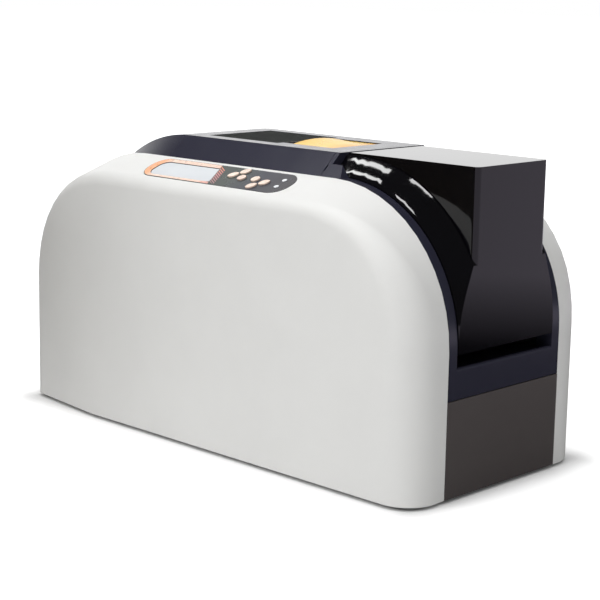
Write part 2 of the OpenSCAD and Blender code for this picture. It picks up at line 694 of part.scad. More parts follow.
module status_lights() color("white") on_band() for (p = light_spots)
    translate([p[0], p[1], -panel_sink - 2]) cylinder(h = 2 + bezel_t + 0.3, r = light_r, $fn = 32);
module key_cap() color("orange") on_band() translate([0, 0, -panel_sink - 0.9])
    linear_extrude(bezel_t + 0.9 + key_stand) children();
module rear_upper_key() key_cap() leaf_plan(0, 0);
module rear_lower_key() key_cap() leaf_plan(1, 0);
module rear_round_key() key_cap() round_plan(0, 0);
module front_upper_key() key_cap() leaf_plan(2, 0);
module front_lower_key() key_cap() leaf_plan(3, 0);
module front_round_key() key_cap() round_plan(1, 0);
module panel_board() color("green") on_band() {
    translate([0, 0, -panel_sink - 4]) linear_extrude(1.6)
        rounded_plan(panel_x0 + 1.4, panel_x1 - 1.4, panel_y0 + 1.4, panel_y1 - 1.4, panel_r - 1.4);
    translate([0, 0, -panel_sink - 2.5]) linear_extrude(2.3) window_plan(0.6);
    for (p = leaf_spots) translate([p[0], p[1], -panel_sink - 2.5]) cylinder(h = 0.7, r = 1.5, $fn = 32);
    for (p = round_spots) translate([p[0], p[1], -panel_sink - 2.5]) cylinder(h = 0.7, r = 1.5, $fn = 32);
    for (p = light_spots) translate([p[0], p[1], -panel_sink - 2.5]) cylinder(h = 0.5, r = 1.5, $fn = 32);
}

// Rollers: a rubber sleeve on a steel shaft that carries its pulley
sleeve_half = 27;
module sleeve(p, r, half) color("#202020") difference() {
    rod(-half, half, p[0], p[1], r);
    rod(-half - 1, half + 1, p[0], p[1], shaft_r);
}
belt_x = plate_x + 4;
second_x = belt_x + belt_w + 2;
shaft_end = plate_x + 1.4;
module pulley(x, p) {
    rod(x - 0.7, x + belt_w + 0.7, p[0], p[1], pulley_r);
    rod(x - 1.4, x - 0.4, p[0], p[1], pulley_r + 1.6);
    rod(x + belt_w + 0.4, x + belt_w + 1.4, p[0], p[1], pulley_r + 1.6);
}
module driven_shaft(p, reach) color("silver") rod(-shaft_end - 2, reach, p[0], p[1], shaft_r);
module pick_roller() sleeve(pick_at, pick_r, 11);
module pick_shaft() color("silver") {
    driven_shaft(pick_at, second_x + belt_w + 2);
    pulley(second_x, pick_at);
}
module entry_roller() sleeve(entry_at, roller_r, sleeve_half);
module entry_shaft() color("silver") {
    driven_shaft(entry_at, second_x + belt_w + 2);
    pulley(belt_x, entry_at);
    pulley(second_x, entry_at);
}
module platen_roller() sleeve(platen_at, roller_r, sleeve_half + 4);
module platen_shaft() color("silver") {
    driven_shaft(platen_at, second_x + belt_w + 2);
    pulley(belt_x, platen_at);
    pulley(second_x, platen_at);
}
module rear_roller() sleeve(rear_at, roller_r, sleeve_half);
module rear_shaft() color("silver") {
    driven_shaft(rear_at, second_x);
    pulley(belt_x, rear_at);
}
module exit_roller() sleeve(exit_at, roller_r, sleeve_half);
module exit_shaft() color("silver") {
    driven_shaft(exit_at, second_x);
    pulley(belt_x, exit_at);
}
module pinch(p) color("#303030") {
    for (x = [-20, 8]) rod(x, x + 12, p[0], p[1], pinch_r);
    rod(-shaft_end - 0.9, shaft_end + 0.9, p[0], p[1], pinch_shaft_r);
}
module entry_pinch() pinch(entry_pinch_at);
module rear_pinch() pinch(rear_pinch_at);
module exit_pinch() pinch(exit_pinch_at);

module bush(p, outer, inner) difference() {
    union() {
        rod(plate_x, plate_x + plate_t, p[0], p[1], outer);
        rod(plate_x - 1.5, plate_x, p[0], p[1], outer + 1);
    }
    rod(plate_x - 3, plate_x + 4, p[0], p[1], inner + running);
}
module shaft_bushes() color("goldenrod") both_sides() {
    for (p = lower_rollers) bush(p, bush_r, shaft_r);
    for (p = upper_rollers) bush(p, pinch_bush_r, pinch_shaft_r);
}

// A belt round two equal pulleys
belt_gap = 0.05;
module belt_ring(r, span) {
    circle(r);
    translate([0, -r]) square([span, 2 * r]);
    translate([span, 0]) circle(r);
}
module belt(x, a, b) {
    span = norm(b - a);
    turn = atan2(b[1] - a[1], b[0] - a[0]);
    translate([x, a[0], a[1]]) rotate([turn, 0, 0]) rotate([90, 0, 90]) linear_extrude(belt_w)
        difference() {
            belt_ring(pulley_r + belt_gap + belt_t, span);
            belt_ring(pulley_r + belt_gap, span);
        }
}
module transport_belt() color("#222222") {
    belt(belt_x, exit_at, rear_at);
    belt(second_x, pick_at, entry_at);
}
module motor_belt() color("#222222") belt(second_x, motor_at, platen_at);

motor_shaft_r = 2.5;
module motor(p, depth) {
    slab(plate_x - depth, plate_x, p[0] - motor_size / 2, p[0] + motor_size / 2, p[1] - motor_size / 2,
        p[1] + motor_size / 2);
    rod(plate_x - eps, plate_x + plate_t + 0.5, p[0], p[1], 5.5);
}
module stepper_motors() color("#4a4a4e") {
    motor(motor_at, 28);
    motor(ribbon_motor_at, 22);
}
module motor_pulley() color("silver") {
    rod(plate_x + plate_t + 0.7, second_x + belt_w + 2, motor_at[0], motor_at[1], motor_shaft_r);
    pulley(second_x, motor_at);
}

// Spur gears of module one; phase turns a tooth to the line between the two centres
module gear_plan(teeth) {
    circle(teeth / 2 - 1.2);
    for (i = [0 : teeth - 1]) rotate(i * 360 / teeth) polygon([[teeth / 2 - 1.5, -1.15],
        [teeth / 2 - 1.5, 1.15], [teeth / 2, 0.62], [teeth / 2 + 0.9, 0.3], [teeth / 2 + 0.9, -0.3],
        [teeth / 2, -0.62]]);
}
gear_x = plate_x + plate_t + 1;
gear_w = 5;
module gear(p, teeth, phase) translate([gear_x, p[0], p[1]]) rotate([90, 0, 90])
    linear_extrude(gear_w) rotate(phase) gear_plan(teeth);
module ribbon_pinion() color("goldenrod") {
    gear(ribbon_motor_at, pinion_teeth, gear_line + 180);
    rod(gear_x - 0.4, gear_x + gear_w + 1, ribbon_motor_at[0], ribbon_motor_at[1], motor_shaft_r);
}

// Ribbon spools: film wound on a core with a flange at each end
film_half = 30;
supply_r = 19;
takeup_r = 12;
module spool(p, wound) {
    rod(-film_half, film_half, p[0], p[1], wound);
    for (x = [-film_half - 2, film_half]) rod(x, x + 2, p[0], p[1], 21);
    rod(-shaft_end, shaft_end, p[0], p[1], stub_r);
}
module supply_spool() color("#28283c") spool(supply_at, supply_r);
module takeup_spool() color("#28283c") {
    spool(takeup_at, takeup_r);
    rod(shaft_end - 1, gear_x + gear_w + 1, takeup_at[0], takeup_at[1], stub_r);
    gear(takeup_at, spool_teeth, gear_line + 180 / spool_teeth);
}

// Ribbon from the supply spool under the print head to the take-up spool
film_t = 0.2;
film_low = path_z + 0.95;
film_ease = 0.5;
function tangent(c, r, p, side) = let (d = p - c, a = atan2(d[1], d[0]) + side * acos(r / norm(d)))
    c + r * [cos(a), sin(a)];
film_bends = [[-21, film_low], [-3, film_low]];
film_path = [tangent(supply_at, supply_r + film_ease, film_bends[0], -1), film_bends[0], film_bends[1],
    tangent(takeup_at, takeup_r + film_ease, film_bends[1], 1)];
module ribbon_film() color("#20203a") translate([-film_half + 2, 0, 0]) rotate([90, 0, 90])
    linear_extrude(2 * film_half - 4) polygon(concat(film_path,
        [for (i = [3 : -1 : 0]) film_path[i] + [0, film_t]]));

// Print head on a bracket that turns about a shaft between the chassis plates
head_x = 33;
head_z = film_low + film_t + 0.15;
bridge_z = rod_spots[3][1] - rod_r;
fin_pitch = 3.2;
fin_t = 1.2;
fin_top = head_z + 16;
module print_head() color("#c8c8b8") {
    slab(-head_x, head_x, platen_at[0] - 8, platen_at[0] + 8, head_z + 0.6, head_z + 3);
    rod(-head_x, head_x, platen_at[0], head_z + 1, 1);
}
module head_bracket() color("silver") {
    slab(-head_x, head_x, platen_at[0] - 8, platen_at[0] + 8, head_z + 3, head_z + 5);
    for (y = [platen_at[0] - 6 : fin_pitch : platen_at[0] + 6])
        slab(-head_x, head_x, y, y + fin_t, head_z + 4, fin_top);
    both_sides() difference() {
        slab(head_x - 2, head_x, platen_at[0] - 8, head_pivot[0] + 5, head_z + 3, head_pivot[1] + 5);
        rod(head_x - 3, head_x + 1, head_pivot[0], head_pivot[1], head_shaft_r + running);
    }
}
module coil(x, y, z0, z1, r) translate([x, y, z0]) difference() {
    cylinder(h = z1 - z0, r = r, $fn = 32);
    translate([0, 0, -1]) cylinder(h = z1 - z0 + 2, r = r - 0.8, $fn = 32);
}
module head_springs() color("gainsboro") both_sides()
    coil(20, platen_at[0] + 0.6, fin_top + gap, bridge_z - gap, 3.5);

// Electronics
board_z = 12;
module main_board() color("darkgreen") {
    slab(-50, 46, -160, 90, board_z, board_z + 1.6);
    slab(-40, -20, -140, -120, board_z + 1.5, board_z + 4);
    slab(0, 16, -150, -134, board_z + 1.5, board_z + 5);
    for (y = [-90 : 14 : -34]) translate([-34, y, board_z + 1.5]) cylinder(h = 10, r = 4);
    slab(-46, -38, -20, 60, board_z + 1.5, board_z + 10);
}
module power_supply() color("gray") {
    slab(-wing_x + 2, -plate_x - plate_t - 6, -70, 60, pan_z, pan_z + 34);
    slab(-wing_x + 5, -plate_x - plate_t - 9, -60, -30, pan_z + 33, pan_z + 48);
}

// Power inlet, USB socket and fan frame are fixed behind the rear panel
module rear_sockets() color("black") {
    difference() {
        behind(inlet_at, inlet_half[0], inlet_half[1], -22, 0.5);
        behind(inlet_at, inlet_half[0] - 2, inlet_half[1] - 2, -15, 2);
    }
    for (p = [[-7, -2], [0, 2], [7, -2]]) behind(inlet_at + p, 1, 2, -16, -6);
    difference() {
        behind(usb_at, usb_half[0], usb_half[1], -16, 0.3);
        behind(usb_at, usb_half[0] - 1.8, usb_half[1] - 1.6, -9, 2);
    }
    difference() {
        behind(switch_at, switch_half[0], switch_half[1], -18, 0.3);
        behind(switch_at, switch_half[0] - 1.4, switch_half[1] - 1.5, -15, 2);
        rod(switch_at[0] - 9, switch_at[0] + 9, rear_y - 4, switch_at[1], 1);
    }
    difference() {
        behind(fan_at, fan_half, fan_half, -wall - 10, -wall);
        translate([fan_at[0], rear_y, fan_at[1]]) rotate([90, 0, 0]) cylinder(h = 30, r = fan_r + 1);
    }
    behind(fan_at, fan_half - 0.5, 3, -wall - 10, -wall - 9);
    translate([fan_at[0], rear_y - wall - 9 - eps, fan_at[1]]) rotate([-90, 0, 0]) cylinder(h = 5, r = 1.5);
}

switch_turn = 9;
module power_switch() color("black") {
    translate([switch_at[0], rear_y - 4, switch_at[1]]) rotate([switch_turn, 0, 0]) difference() {
        rod(-6.3, 6.3, 0, 0, 9);
        translate([-10, -20, -12]) cube([20, 17, 24]);
        translate([-10, 3.6, -12]) cube([20, 20, 24]);
    }
    rod(switch_at[0] - 7.8, switch_at[0] + 7.8, rear_y - 4, switch_at[1], 1 - running);
}

fan_blades = 7;
fan_pitch = 35;
fan_hub_r = 8;
module fan_rotor() color("#303030")
    translate([fan_at[0], rear_y - wall - 8.6, fan_at[1]]) rotate([-90, 0, 0]) {
        difference() {
            cylinder(h = 7.5, r = fan_hub_r);
            translate([0, 0, -1]) cylinder(h = 6, r = 1.5 + running);
        }
        for (i = [0 : fan_blades - 1]) rotate([0, 0, i * 360 / fan_blades])
            translate([fan_hub_r - 0.5, 0, 3.8]) rotate([fan_pitch, 0, 0]) translate([0, -4, -0.5])
                cube([fan_r - fan_hub_r, 8, 1]);
    }

left_side_shell();
right_side_shell();
base_pan();
rubber_feet();
left_chassis_plate();
right_chassis_plate();
tie_rods();
front_frame();
lower_front_panel();
rear_panel();
shell_screws();
hinge_pins();
top_cover();
ribbed_panel();
latch_pad();
latch_pin();
latch_spring();
hopper_hood();
card_cassette();
card_weight();
panel_bezel();
panel_board();
lcd_window();
status_lights();
rear_upper_key();
rear_lower_key();
rear_round_key();
front_upper_key();
front_lower_key();
front_round_key();
pick_roller();
pick_shaft();
entry_roller();
entry_shaft();
platen_roller();
platen_shaft();
rear_roller();
rear_shaft();
exit_roller();
exit_shaft();
entry_pinch();
rear_pinch();
exit_pinch();
shaft_bushes();
transport_belt();
motor_belt();
stepper_motors();
motor_pulley();
ribbon_pinion();
supply_spool();
takeup_spool();
ribbon_film();
print_head();
head_bracket();
head_springs();
power_supply();
main_board();
rear_sockets();
power_switch();
fan_rotor();
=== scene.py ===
import math

import bmesh
import bpy
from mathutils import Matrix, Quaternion, Vector


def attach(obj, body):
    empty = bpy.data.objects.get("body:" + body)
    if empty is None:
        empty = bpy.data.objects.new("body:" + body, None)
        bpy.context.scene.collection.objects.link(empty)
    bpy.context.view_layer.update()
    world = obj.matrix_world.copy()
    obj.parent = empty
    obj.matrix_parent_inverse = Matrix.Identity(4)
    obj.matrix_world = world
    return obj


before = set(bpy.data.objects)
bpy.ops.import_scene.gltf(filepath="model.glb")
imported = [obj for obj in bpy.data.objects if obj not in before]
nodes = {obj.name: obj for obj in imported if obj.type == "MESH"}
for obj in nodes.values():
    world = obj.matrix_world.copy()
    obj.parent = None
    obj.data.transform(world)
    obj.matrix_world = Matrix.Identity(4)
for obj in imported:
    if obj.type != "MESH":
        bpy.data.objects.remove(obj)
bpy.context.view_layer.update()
MM = 0.001

# Camera of the photograph, found from the object's own edges
CAMERA_AT = Vector((-0.9058, -0.8949, 0.3569))
CAMERA_WAY = Vector((0.7023, 0.6847, -0.1947))
CAMERA_ROLL = math.radians(0.96)
CAMERA_LENS = 96.9
SENSOR = 36
SEES_TO = 50

# Sizes that the looks share with the solid model, in millimetres
PARTING_X = 64
BAND_SLOPE = 22
BAND_Z = 217.5
PANEL_TOP = 0.2
PANEL_X = (-32.3, -3.2)
PANEL_Y = (-79.5, 77)
PANEL_R = 13.5
WINDOW_X = (-29, -8.5)
WINDOW_Y = (-6, 69)
WINDOW_R = 8
WINDOW_CUT = (5.5, 22)


class Finish:
    """A material built from the principled shader and procedural textures in the object's own space."""

    def __init__(self, name, colour, rough, metal=0.0, **sockets):
        self.mat = bpy.data.materials.new(name)
        self.mat.use_nodes = True
        self.tree = self.mat.node_tree
        self.shader = self.tree.nodes["Principled BSDF"]
        self.colour = (*colour, 1)
        self.rough = rough
        self.set("Base Color", self.colour)
        self.set("Roughness", rough)
        self.set("Metallic", metal)
        for socket, value in sockets.items():
            self.set(socket.replace("_", " "), value)
        self.place = self.tree.nodes.new("ShaderNodeTexCoord").outputs["Object"]

    def set(self, socket, value):
        self.shader.inputs[socket].default_value = value

    def link(self, out, into):
        self.tree.links.new(out, into)

    def noise(self, per_metre, detail=2.0, stretch=(1, 1, 1)):
        mapping = self.tree.nodes.new("ShaderNodeMapping")
        mapping.inputs["Scale"].default_value = stretch
        noise = self.tree.nodes.new("ShaderNodeTexNoise")
        noise.inputs["Scale"].default_value = per_metre
        noise.inputs["Detail"].default_value = detail
        self.link(self.place, mapping.inputs["Vector"])
        self.link(mapping.outputs["Vector"], noise.inputs["Vector"])
        return noise.outputs["Fac"]

    def ramp(self, factor, stops):
        ramp = self.tree.nodes.new("ShaderNodeValToRGB")
        while len(ramp.color_ramp.elements) < len(stops):
            ramp.color_ramp.elements.new(0.5)
        for element, (at, colour) in zip(ramp.color_ramp.elements, stops):
            element.position = at
            element.color = (*colour, 1)
        self.link(factor, ramp.inputs["Fac"])
        return ramp.outputs["Color"]

    def cloud(self, per_metre, amount, stretch=(1, 1, 1)):
        """Slight change of colour over the surface."""
        low = [c * (1 - amount) for c in self.colour[:3]]
        high = [min(1, c * (1 + amount)) for c in self.colour[:3]]
        stops = [(0.3, low), (0.7, high)]
        self.link(self.ramp(self.noise(per_metre, 3, stretch), stops), self.shader.inputs["Base Color"])
        return self

    def wear(self, per_metre, spread):
        """Slight change of gloss over the surface."""
        spans = self.tree.nodes.new("ShaderNodeMapRange")
        spans.inputs["From Min"].default_value = 0.3
        spans.inputs["From Max"].default_value = 0.7
        spans.inputs["To Min"].default_value = self.rough - spread
        spans.inputs["To Max"].default_value = self.rough + spread
        self.link(self.noise(per_metre, 4), spans.inputs["Value"])
        self.link(spans.outputs["Result"], self.shader.inputs["Roughness"])
        return self

    def grain(self, per_metre, depth_mm, strength=1.0, stretch=(1, 1, 1)):
        """Fine relief of a moulded, brushed or rubber surface."""
        bump = self.tree.nodes.new("ShaderNodeBump")
        bump.inputs["Strength"].default_value = strength
        bump.inputs["Distance"].default_value = depth_mm * MM
        self.link(self.noise(per_metre, 3, stretch), bump.inputs["Height"])
        self.link(bump.outputs["Normal"], self.shader.inputs["Normal"])
        return self

    def along(self, axis, start_mm, end_mm):
        """Runs from 0 to 1 between two places along one axis of the object."""
        split = self.tree.nodes.new("ShaderNodeSeparateXYZ")
        spans = self.tree.nodes.new("ShaderNodeMapRange")
        spans.inputs["From Min"].default_value = start_mm * MM
        spans.inputs["From Max"].default_value = end_mm * MM
        self.link(self.place, split.inputs["Vector"])
        self.link(split.outputs[axis], spans.inputs["Value"])
        return spans.outputs["Result"]

    def blend(self, axis, start_mm, end_mm, stops):
        """Colour that runs through the stops between two places along one axis of the object."""
        self.link(self.ramp(self.along(axis, start_mm, end_mm), stops), self.shader.inputs["Base Color"])


def moulded(name, colour, rough, grain_mm=0.02, **sockets):
    finish = Finish(name, colour, rough, **sockets)
    return finish.cloud(25, 0.012).wear(60, 0.03).grain(1800, grain_mm, 0.35)


def brushed(name, colour, rough, stretch):
    finish = Finish(name, colour, rough, 1.0)
    return finish.cloud(40, 0.08, stretch).wear(90, 0.06).grain(900, 0.01, 0.4, stretch)


def rubbery(name, colour):
    return Finish(name, colour, 0.75).cloud(60, 0.12).wear(120, 0.08).grain(2600, 0.04, 0.5)


def paint(finish, *names):
    """Gives the named nodes the finish as their only material."""
    for name in names:
        mesh = nodes[name].data
        mesh.materials.clear()
        mesh.materials.append(finish.mat)


ACROSS = (0.06, 1, 1)
ALONG = (1, 0.06, 1)

white = moulded("white_plastic", (0.80, 0.80, 0.785), 0.42, 0.012)
charcoal = moulded("charcoal_plastic", (0.026, 0.026, 0.043), 0.22, 0.004)
ribbed_plastic = moulded("ribbed_plastic", (0.012, 0.015, 0.013), 0.6, Specular_IOR_Level=0.1)
warm_grey = moulded("front_panel_plastic", (0.088, 0.076, 0.074), 0.42, 0.02)
smoked = Finish("smoked_hood", (0.0022, 0.0020, 0.0030), 0.05, IOR=1.5)
smoked.cloud(15, 0.2).wear(30, 0.015).grain(14, 0.05, 0.03)
inner_black = moulded("black_plastic", (0.012, 0.012, 0.013), 0.5)
amber = Finish("amber_latch", (0.85, 0.42, 0.03), 0.3)
steel_across = brushed("steel_rods", (0.62, 0.62, 0.63), 0.3, ACROSS)
steel_sheet = brushed("steel_sheet", (0.55, 0.55, 0.56), 0.4, ALONG)
rubber = rubbery("roller_rubber", (0.02, 0.02, 0.02))
feet_rubber = rubbery("feet_rubber", (0.014, 0.014, 0.014))
belt_rubber = rubbery("belt_rubber", (0.012, 0.012, 0.012))
brass = brushed("brass", (0.68, 0.48, 0.18), 0.32, ACROSS)
green_board = Finish("green_board", (0.01, 0.09, 0.03), 0.4).cloud(260, 0.35).wear(300, 0.1).grain(420, 0.05)
grey_paint = moulded("grey_paint", (0.09, 0.09, 0.10), 0.4)
motor_black = moulded("motor_black", (0.02, 0.02, 0.022), 0.45)
film = Finish("ribbon_film", (0.008, 0.008, 0.03), 0.18).cloud(80, 0.3).wear(50, 0.05)
ceramic = moulded("head_ceramic", (0.62, 0.58, 0.48), 0.35)
aluminium = brushed("aluminium", (0.72, 0.72, 0.73), 0.35, ACROSS)
spool_blue = moulded("spool_plastic", (0.02, 0.02, 0.06), 0.4)
bezel_black = Finish("panel_field", (0.022, 0.025, 0.042), 0.28)
field_stops = [(0.0, (0.030, 0.027, 0.034)), (0.45, (0.022, 0.025, 0.042)), (0.8, (0.030, 0.042, 0.034))]
bezel_black.blend("Y", -75, -2, field_stops)
bezel_black.wear(60, 0.03).grain(1800, 0.004, 0.35)
display = Finish("display_glass", (0.66, 0.69, 0.72), 0.12).cloud(30, 0.03).wear(40, 0.02)
lamp_white = Finish("light_lens", (0.88, 0.9, 0.93), 0.2).cloud(300, 0.03).wear(200, 0.03)
key_peach = Finish("key_plastic", (0.93, 0.70, 0.58), 0.25, Coat_Weight=0.5, Coat_Roughness=0.08)
key_peach.cloud(90, 0.14).wear(150, 0.05).grain(1500, 0.01, 0.3)

# Latch colour from front to rear, over the latch's own yellow-orange: the deep orange at the front is
# painted shade and the lighter yellow in the middle is a painted highlight
latch_shade_highlight_stops = [(0.0, (0.80, 0.25, 0.01)), (0.12, (0.90, 0.42, 0.02)), (0.45, (0.93, 0.62, 0.12)),
               (1.0, (0.93, 0.55, 0.05))]
amber.blend("Y", -70, -30, latch_shade_highlight_stops)
amber.wear(80, 0.04).grain(1600, 0.012, 0.3)

paint(white, "left_side_shell", "right_side_shell")
paint(charcoal, "front_frame", "top_cover", "rear_panel")
paint(ribbed_plastic, "ribbed_panel")
paint(warm_grey, "lower_front_panel")
paint(smoked, "hopper_hood")
paint(amber, "latch_pad")
paint(bezel_black, "panel_bezel")
paint(display, "lcd_window")
paint(lamp_white, "status_lights")
paint(inner_black, "card_cassette", "rear_sockets", "power_switch", "fan_rotor")
paint(grey_paint, "base_pan", "card_weight")
paint(feet_rubber, "rubber_feet")
paint(steel_sheet, "left_chassis_plate", "right_chassis_plate", "power_supply")
paint(steel_across, "tie_rods", "shell_screws", "hinge_pins", "latch_pin", "latch_spring", "head_springs",
      "pick_shaft", "entry_shaft", "platen_shaft", "rear_shaft", "exit_shaft")
paint(rubber, "pick_roller", "entry_roller", "platen_roller", "rear_roller", "exit_roller",
      "entry_pinch", "rear_pinch", "exit_pinch")
paint(belt_rubber, "transport_belt", "motor_belt")
paint(brass, "shaft_bushes", "ribbon_pinion")
paint(green_board, "panel_board", "main_board")
paint(motor_black, "stepper_motors")
paint(aluminium, "motor_pulley", "head_bracket")
paint(ceramic, "print_head")
paint(spool_blue, "supply_spool", "takeup_spool")
paint(film, "ribbon_film")
for group in ("rear", "front"):
    paint(key_peach, *(f"{group}_{kind}_key" for kind in ("upper", "lower", "round")))


def smoothing(angle):
    """Node group that joins doubled corners and shades every edge flatter than the angle smooth."""
    group = bpy.data.node_groups.new("smooth_faces", "GeometryNodeTree")
    group.interface.new_socket("Geometry", in_out="INPUT", socket_type="NodeSocketGeometry")
    group.interface.new_socket("Geometry", in_out="OUTPUT", socket_type="NodeSocketGeometry")
    make = group.nodes.new
    link = group.links.new
    start = make("NodeGroupInput")
    end = make("NodeGroupOutput")
    plain = make("GeometryNodeRemoveAttribute")
    plain.inputs["Name"].default_value = "custom_normal"
    merge = make("GeometryNodeMergeByDistance")
    merge.inputs["Distance"].default_value = 2e-6
    faces = make("GeometryNodeSetShadeSmooth")
    edges = make("GeometryNodeSetShadeSmooth")
    edges.domain = "EDGE"
    bend = make("GeometryNodeInputMeshEdgeAngle")
    sharp = make("FunctionNodeCompare")
    sharp.operation = "GREATER_THAN"
    sharp.inputs[1].default_value = angle
    link(start.outputs[0], plain.inputs["Geometry"])
    link(plain.outputs["Geometry"], merge.inputs["Geometry"])
    link(merge.outputs["Geometry"], faces.inputs["Geometry"])
    link(faces.outputs["Geometry"], edges.inputs["Geometry"])
    link(bend.outputs["Unsigned Angle"], sharp.inputs[0])
    link(sharp.outputs["Result"], edges.inputs["Selection"])
    edges.inputs["Shade Smooth"].default_value = False
    link(edges.outputs["Geometry"], end.inputs[0])
    return group


# Edges flatter than the first angle are shaded smooth, those sharper than the second are bevelled
SMOOTH_BELOW = 24
BEVEL_ABOVE = 40
FACE_WEIGHT = 80
smooth_faces = smoothing(math.radians(SMOOTH_BELOW))
BEVELS = {"front_frame": 0.4, "top_cover": 0.5, "hopper_hood": 0.5, "lower_front_panel": 0.5,
          "latch_pad": 0.6, "left_side_shell": 0.4, "right_side_shell": 0.4, "rear_panel": 0.4}
for name, node in nodes.items():
    smooth = node.modifiers.new("smooth", "NODES")
    smooth.node_group = smooth_faces
    if name in BEVELS:
        bevel = node.modifiers.new("edges", "BEVEL")
        bevel.width = BEVELS[name] * MM
        bevel.segments = 2
        bevel.limit_method = "ANGLE"
        bevel.angle_limit = math.radians(BEVEL_ABOVE)
        bevel.use_clamp_overlap = True
    weighted = node.modifiers.new("weighted", "WEIGHTED_NORMAL")
    weighted.keep_sharp = True
    weighted.weight = FACE_WEIGHT


def on_band(u, y, up):
    """Point on the left shell's sloped band: u mm up the slope, y along the machine, up above it."""
    turn = math.radians(BAND_SLOPE)
    x = -PARTING_X + u * math.cos(turn) - up * math.sin(turn)
    z = BAND_Z + u * math.sin(turn) + up * math.cos(turn)
    return Vector((x, y, z)) * MM


def piece(name, verts, faces, finish, body):
    """Added piece that rides on a body."""
    mesh = bpy.data.meshes.new(name)
    mesh.from_pydata(verts, [], faces)
    mesh.materials.append(finish.mat)
    made = bpy.data.objects.new(name, mesh)
    bpy.context.collection.objects.link(made)
    build = bmesh.new()
    build.from_mesh(mesh)
    bmesh.ops.recalc_face_normals(build, faces=build.faces)
    build.to_mesh(mesh)
    build.free()
    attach(made, body)
    return made


def arc(cx, cy, r, start, end, steps):
    return [(cx + r * math.cos(math.radians(start + (end - start) * k / steps)),
             cy + r * math.sin(math.radians(start + (end - start) * k / steps))) for k in range(steps + 1)]


def tablet_on_band(name, outer, inner, low, high, finish):
    """Thin flat ring on the band between two open outlines of as many [u, y] points each."""
    count = len(outer)
    verts = [on_band(u, y, up) for up in (low, high) for loop in (outer, inner) for u, y in loop]
    faces = []
    for layer in (0, 2 * count):
        for k in range(count - 1):
            faces.append((layer + k, layer + k + 1, layer + count + k + 1, layer + count + k))
    for start in (0, count):
        for k in range(count - 1):
            faces.append((start + k, start + k + 1, start + k + 1 + 2 * count, start + k + 2 * count))
    for k in (0, count - 1):
        faces.append((k, count + k, 3 * count + k, 2 * count + k))
    return piece(name, verts, faces, finish, "chassis")


def slant(u):
    """Place along the machine of the display's slanted front edge."""
    return WINDOW_CUT[0] + (u - WINDOW_X[1]) * math.tan(math.radians(WINDOW_CUT[1]))


def half_loop(x0, x1, y1, r):
    """Outline round the display's rear end, from its lower front corner to its upper one."""
    loop = [(x0, slant(x0))] + arc(x0 + r, y1 - r, r, 180, 90, 12)
    return loop + arc(x1 - r, y1 - r, r, 90, 0, 12) + [(x1, slant(x1))]


# Peach surround of the display, with a stronger orange at its rear end
surround = Finish("display_surround", (0.90, 0.66, 0.54), 0.3)
surround_stops = [(0.0, (0.80, 0.40, 0.33)), (0.12, (0.90, 0.64, 0.52)), (0.8, (0.90, 0.66, 0.54)),
                  (0.9, (0.93, 0.42, 0.20))]
surround.blend("Y", 0, 77, surround_stops)
surround.wear(200, 0.05).grain(1500, 0.01, 0.3)
outer_loop = half_loop(PANEL_X[0] + 0.5, PANEL_X[1] - 0.5, PANEL_Y[1] - 0.5, PANEL_R - 0.5)
inner_loop = half_loop(WINDOW_X[0] - 0.2, WINDOW_X[1] + 0.2, WINDOW_Y[1] + 0.2, WINDOW_R + 0.2)
tablet_on_band("display_surround", outer_loop, inner_loop, PANEL_TOP - 0.05, PANEL_TOP + 0.12,
               surround)

# Short strokes side by side across the field, along the display's slanted edge
stroke_ink = Finish("stroke_print", (0.62, 0.25, 0.23), 0.4)
stroke_stops = [(0.0, (0.36, 0.22, 0.22)), (0.5, (0.62, 0.25, 0.26)), (1.0, (0.80, 0.30, 0.16))]
stroke_ink.blend("X", -93, -68, stroke_stops)
stroke_ink.wear(200, 0.05)
STROKES = 9
STROKE_FIRST_U = -5.4
STROKE_PITCH = 2.75
STROKE_WIDE = 1.5
STROKE_WAY = (-4.6, -7.8)
verts = []
faces = []
for k in range(STROKES):
    u = STROKE_FIRST_U - k * STROKE_PITCH
    y = slant(u) - 0.6
    share = min(1, (u - PANEL_X[0] - 0.8) / -STROKE_WAY[0])
    end_u, end_y = u + STROKE_WAY[0] * share, y + STROKE_WAY[1] * share
    corners = [(u, y), (u - STROKE_WIDE, y - 0.6), (end_u - STROKE_WIDE, end_y - 0.6), (end_u, end_y)]
    corners = [(max(PANEL_X[0] + 0.5, a), b) for a, b in corners]
    first = len(verts)
    verts += [on_band(a, b, up) for up in (PANEL_TOP - 0.05, PANEL_TOP + 0.06) for a, b in corners]
    faces += [tuple(first + m for m in (3, 2, 1, 0)), tuple(first + m for m in (4, 5, 6, 7))]
    faces += [tuple(first + m for m in (a, (a + 1) % 4, 4 + (a + 1) % 4, 4 + a)) for a in range(4)]
piece("panel_strokes", verts, faces, stroke_ink, "chassis")

# Camera
camera_data = bpy.data.cameras.new("camera")
camera_data.lens = CAMERA_LENS
camera_data.sensor_width = SENSOR
camera_data.clip_end = SEES_TO
camera = bpy.data.objects.new("camera", camera_data)
camera.location = CAMERA_AT
camera.rotation_mode = "QUATERNION"
camera.rotation_quaternion = CAMERA_WAY.to_track_quat("-Z", "Y") @ Quaternion((0, 0, 1), CAMERA_ROLL)
bpy.context.collection.objects.link(camera)
bpy.context.scene.camera = camera


# Stage: white floor that keeps the shadow, white surroundings
def ray_is(tree, *kinds):
    """1 for the named kinds of ray, else 0."""
    path = tree.nodes.new("ShaderNodeLightPath")
    total = path.outputs[kinds[0]]
    for kind in kinds[1:]:
        either = tree.nodes.new("ShaderNodeMath")
        either.operation = "MAXIMUM"
        tree.links.new(total, either.inputs[0])
        tree.links.new(path.outputs[kind], either.inputs[1])
        total = either.outputs[0]
    return total


